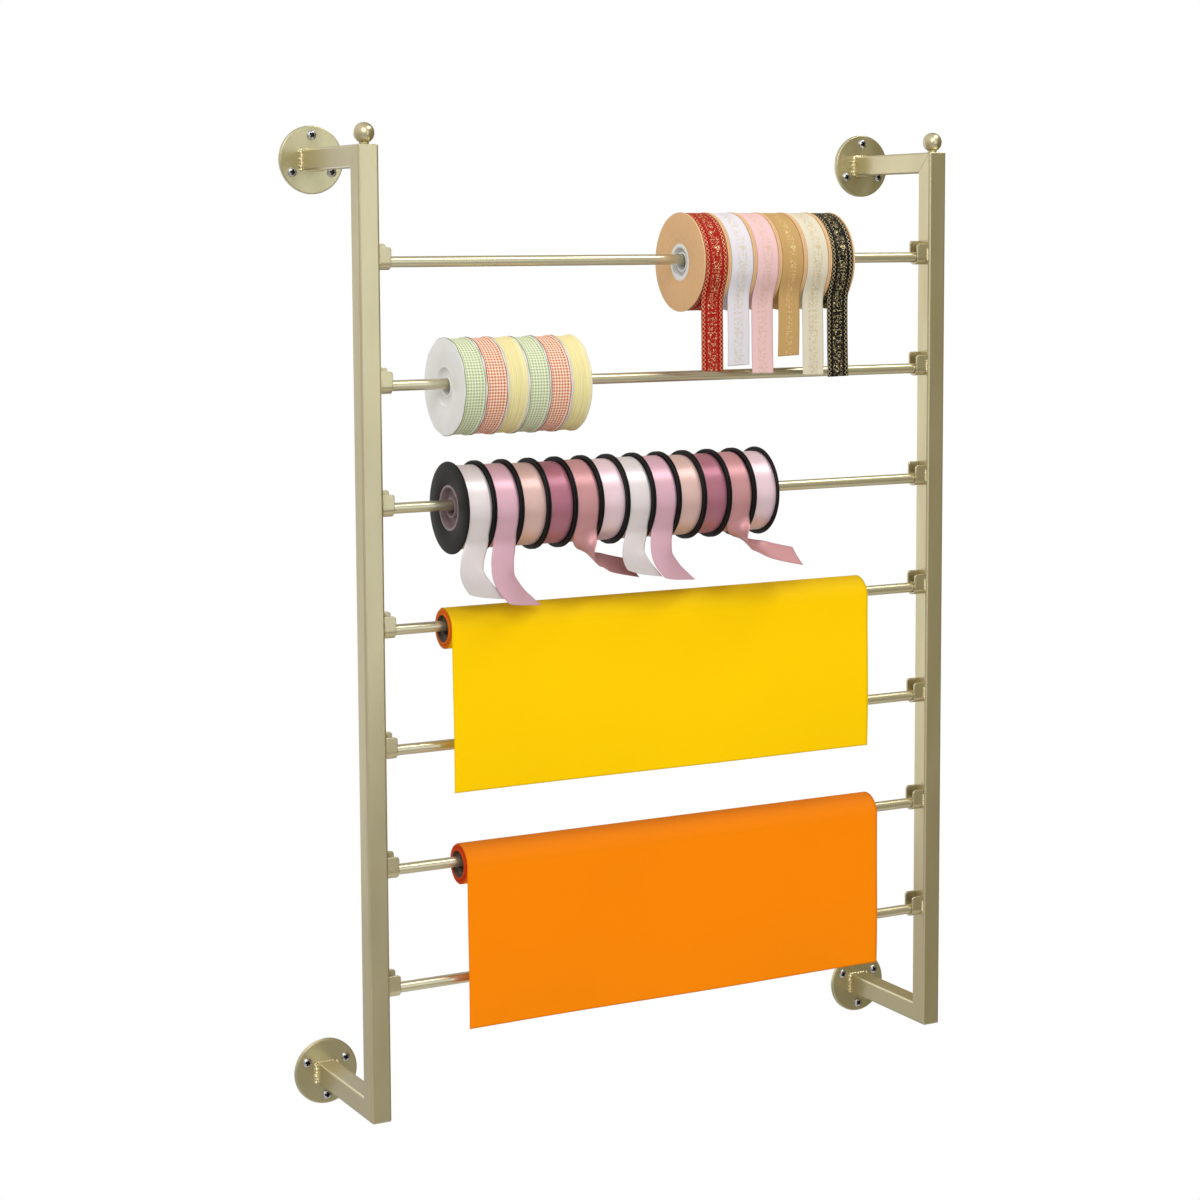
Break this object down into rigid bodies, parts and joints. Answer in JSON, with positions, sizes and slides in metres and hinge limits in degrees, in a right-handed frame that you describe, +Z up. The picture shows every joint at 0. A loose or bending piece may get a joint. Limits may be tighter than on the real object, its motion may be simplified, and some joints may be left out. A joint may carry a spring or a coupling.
{
  "type": "ribbon spool dispenser",
  "caption": "Wall-mounted metal rack whose lift-out rods carry freely turning ribbon spools and rolls of coloured sheet, with round screw flanges that hold it off the wall.",
  "frame": {"origin": "centre of the screw circle on the back face of the lower left wall flange, in the plane of the wall", "axes": "+X to the right along the rods, +Y into the wall, +Z up along the uprights"},
  "size_m": [0.684, 0.1775, 0.944],
  "materials": {
    "champagne_paint": "satin metallic champagne paint",
    "rod_paint": "satin metallic champagne paint on solid bar",
    "card_red": "kraft card discs with printed ribbon",
    "card_white": "kraft card discs with printed ribbon",
    "card_pink": "kraft card discs with printed ribbon",
    "card_tan": "kraft card discs with printed ribbon",
    "card_cream": "kraft card discs with printed ribbon",
    "card_black": "kraft card discs with printed ribbon",
    "gingham_green": "woven ribbon on a white reel",
    "gingham_orange": "woven ribbon on a white reel",
    "gingham_yellow": "woven ribbon on a white reel",
    "satin_pearl": "satin ribbon on a black reel",
    "satin_pink": "satin ribbon on a black reel",
    "satin_peach": "satin ribbon on a black reel",
    "satin_mauve": "satin ribbon on a black reel",
    "satin_rose": "satin ribbon on a black reel",
    "satin_pale": "satin ribbon on a black reel",
    "core_card": "matt grey-brown card",
    "yellow_film": "smooth coloured sheet",
    "orange_film": "smooth coloured sheet"
  },
  "bodies": {
    "frame": {"left_upright": "champagne_paint", "right_upright": "champagne_paint", "left_top_arm": "champagne_paint", "left_bottom_arm": "champagne_paint", "right_top_arm": "champagne_paint", "right_bottom_arm": "champagne_paint", "left_top_flange": "champagne_paint", "left_bottom_flange": "champagne_paint", "right_top_flange": "champagne_paint", "right_bottom_flange": "champagne_paint", "left_finial": "champagne_paint", "right_finial": "champagne_paint", "left_saddles": "champagne_paint", "right_saddles": "champagne_paint"},
    "rod_1": {"rod_1": "rod_paint", "card_ribbon_ends": "card_red"},
    "rod_2": {"rod_2": "rod_paint"},
    "rod_3": {"rod_3": "rod_paint", "black_ribbon_ends": "satin_pink"},
    "rod_4": {"rod_4": "rod_paint", "yellow_sheet": "yellow_film"},
    "rod_5": {"rod_5": "rod_paint"},
    "rod_6": {"rod_6": "rod_paint", "orange_sheet": "orange_film"},
    "rod_7": {"rod_7": "rod_paint"},
    "card_spool_1": {"card_spool_1": "card_red"},
    "card_spool_2": {"card_spool_2": "card_white"},
    "card_spool_3": {"card_spool_3": "card_pink"},
    "card_spool_4": {"card_spool_4": "card_tan"},
    "card_spool_5": {"card_spool_5": "card_cream"},
    "card_spool_6": {"card_spool_6": "card_black"},
    "white_spool_1": {"white_spool_1": "gingham_green"},
    "white_spool_2": {"white_spool_2": "gingham_orange"},
    "white_spool_3": {"white_spool_3": "gingham_yellow"},
    "white_spool_4": {"white_spool_4": "gingham_green"},
    "white_spool_5": {"white_spool_5": "gingham_orange"},
    "white_spool_6": {"white_spool_6": "gingham_yellow"},
    "black_spool_1": {"black_spool_1": "satin_pearl"},
    "black_spool_2": {"black_spool_2": "satin_pink"},
    "black_spool_3": {"black_spool_3": "satin_peach"},
    "black_spool_4": {"black_spool_4": "satin_mauve"},
    "black_spool_5": {"black_spool_5": "satin_rose"},
    "black_spool_6": {"black_spool_6": "satin_pale"},
    "black_spool_7": {"black_spool_7": "satin_pearl"},
    "black_spool_8": {"black_spool_8": "satin_pink"},
    "black_spool_9": {"black_spool_9": "satin_peach"},
    "black_spool_10": {"black_spool_10": "satin_mauve"},
    "black_spool_11": {"black_spool_11": "satin_rose"},
    "black_spool_12": {"black_spool_12": "satin_pale"},
    "yellow_roll": {"yellow_core": "core_card", "yellow_roll": "yellow_film"},
    "orange_roll": {"orange_core": "core_card", "orange_roll": "orange_film"}
  },
  "joints": [
    {"name": "rod_1_lift", "type": "slide", "parent": "frame", "child": "rod_1", "axis": [0, 0, 1], "range_m": [0, 0.02]},
    {"name": "rod_2_lift", "type": "slide", "parent": "frame", "child": "rod_2", "axis": [0, 0, 1], "range_m": [0, 0.02]},
    {"name": "rod_3_lift", "type": "slide", "parent": "frame", "child": "rod_3", "axis": [0, 0, 1], "range_m": [0, 0.02]},
    {"name": "rod_4_lift", "type": "slide", "parent": "frame", "child": "rod_4", "axis": [0, 0, 1], "range_m": [0, 0.02]},
    {"name": "rod_5_lift", "type": "slide", "parent": "frame", "child": "rod_5", "axis": [0, 0, 1], "range_m": [0, 0.02]},
    {"name": "rod_6_lift", "type": "slide", "parent": "frame", "child": "rod_6", "axis": [0, 0, 1], "range_m": [0, 0.02]},
    {"name": "rod_7_lift", "type": "slide", "parent": "frame", "child": "rod_7", "axis": [0, 0, 1], "range_m": [0, 0.02]},
    {"name": "card_spool_1_spin", "type": "hinge", "parent": "rod_1", "child": "card_spool_1", "pos_m": [0.3396, -0.13, 0.7823], "axis": [1, 0, 0], "continuous": true},
    {"name": "card_spool_2_spin", "type": "hinge", "parent": "rod_1", "child": "card_spool_2", "pos_m": [0.368, -0.13, 0.7823], "axis": [1, 0, 0], "continuous": true},
    {"name": "card_spool_3_spin", "type": "hinge", "parent": "rod_1", "child": "card_spool_3", "pos_m": [0.3964, -0.13, 0.7823], "axis": [1, 0, 0], "continuous": true},
    {"name": "card_spool_4_spin", "type": "hinge", "parent": "rod_1", "child": "card_spool_4", "pos_m": [0.4248, -0.13, 0.7823], "axis": [1, 0, 0], "continuous": true},
    {"name": "card_spool_5_spin", "type": "hinge", "parent": "rod_1", "child": "card_spool_5", "pos_m": [0.4532, -0.13, 0.7823], "axis": [1, 0, 0], "continuous": true},
    {"name": "card_spool_6_spin", "type": "hinge", "parent": "rod_1", "child": "card_spool_6", "pos_m": [0.4816, -0.13, 0.7823], "axis": [1, 0, 0], "continuous": true},
    {"name": "white_spool_1_spin", "type": "hinge", "parent": "rod_2", "child": "white_spool_1", "pos_m": [0.087, -0.13, 0.6703], "axis": [1, 0, 0], "continuous": true},
    {"name": "white_spool_2_spin", "type": "hinge", "parent": "rod_2", "child": "white_spool_2", "pos_m": [0.1088, -0.13, 0.6703], "axis": [1, 0, 0], "continuous": true},
    {"name": "white_spool_3_spin", "type": "hinge", "parent": "rod_2", "child": "white_spool_3", "pos_m": [0.1306, -0.13, 0.6703], "axis": [1, 0, 0], "continuous": true},
    {"name": "white_spool_4_spin", "type": "hinge", "parent": "rod_2", "child": "white_spool_4", "pos_m": [0.1524, -0.13, 0.6703], "axis": [1, 0, 0], "continuous": true},
    {"name": "white_spool_5_spin", "type": "hinge", "parent": "rod_2", "child": "white_spool_5", "pos_m": [0.1742, -0.13, 0.6703], "axis": [1, 0, 0], "continuous": true},
    {"name": "white_spool_6_spin", "type": "hinge", "parent": "rod_2", "child": "white_spool_6", "pos_m": [0.196, -0.13, 0.6703], "axis": [1, 0, 0], "continuous": true},
    {"name": "black_spool_1_spin", "type": "hinge", "parent": "rod_3", "child": "black_spool_1", "pos_m": [0.093, -0.13, 0.5583], "axis": [1, 0, 0], "continuous": true},
    {"name": "black_spool_2_spin", "type": "hinge", "parent": "rod_3", "child": "black_spool_2", "pos_m": [0.1208, -0.13, 0.5583], "axis": [1, 0, 0], "continuous": true},
    {"name": "black_spool_3_spin", "type": "hinge", "parent": "rod_3", "child": "black_spool_3", "pos_m": [0.1486, -0.13, 0.5583], "axis": [1, 0, 0], "continuous": true},
    {"name": "black_spool_4_spin", "type": "hinge", "parent": "rod_3", "child": "black_spool_4", "pos_m": [0.1764, -0.13, 0.5583], "axis": [1, 0, 0], "continuous": true},
    {"name": "black_spool_5_spin", "type": "hinge", "parent": "rod_3", "child": "black_spool_5", "pos_m": [0.2042, -0.13, 0.5583], "axis": [1, 0, 0], "continuous": true},
    {"name": "black_spool_6_spin", "type": "hinge", "parent": "rod_3", "child": "black_spool_6", "pos_m": [0.232, -0.13, 0.5583], "axis": [1, 0, 0], "continuous": true},
    {"name": "black_spool_7_spin", "type": "hinge", "parent": "rod_3", "child": "black_spool_7", "pos_m": [0.2598, -0.13, 0.5583], "axis": [1, 0, 0], "continuous": true},
    {"name": "black_spool_8_spin", "type": "hinge", "parent": "rod_3", "child": "black_spool_8", "pos_m": [0.2876, -0.13, 0.5583], "axis": [1, 0, 0], "continuous": true},
    {"name": "black_spool_9_spin", "type": "hinge", "parent": "rod_3", "child": "black_spool_9", "pos_m": [0.3154, -0.13, 0.5583], "axis": [1, 0, 0], "continuous": true},
    {"name": "black_spool_10_spin", "type": "hinge", "parent": "rod_3", "child": "black_spool_10", "pos_m": [0.3432, -0.13, 0.5583], "axis": [1, 0, 0], "continuous": true},
    {"name": "black_spool_11_spin", "type": "hinge", "parent": "rod_3", "child": "black_spool_11", "pos_m": [0.371, -0.13, 0.5583], "axis": [1, 0, 0], "continuous": true},
    {"name": "black_spool_12_spin", "type": "hinge", "parent": "rod_3", "child": "black_spool_12", "pos_m": [0.3988, -0.13, 0.5583], "axis": [1, 0, 0], "continuous": true},
    {"name": "yellow_roll_spin", "type": "hinge", "parent": "rod_4", "child": "yellow_roll", "pos_m": [0.302, -0.13, 0.4463], "axis": [1, 0, 0], "continuous": true},
    {"name": "orange_roll_spin", "type": "hinge", "parent": "rod_6", "child": "orange_roll", "pos_m": [0.315, -0.13, 0.2223], "axis": [1, 0, 0], "continuous": true}
  ]
}
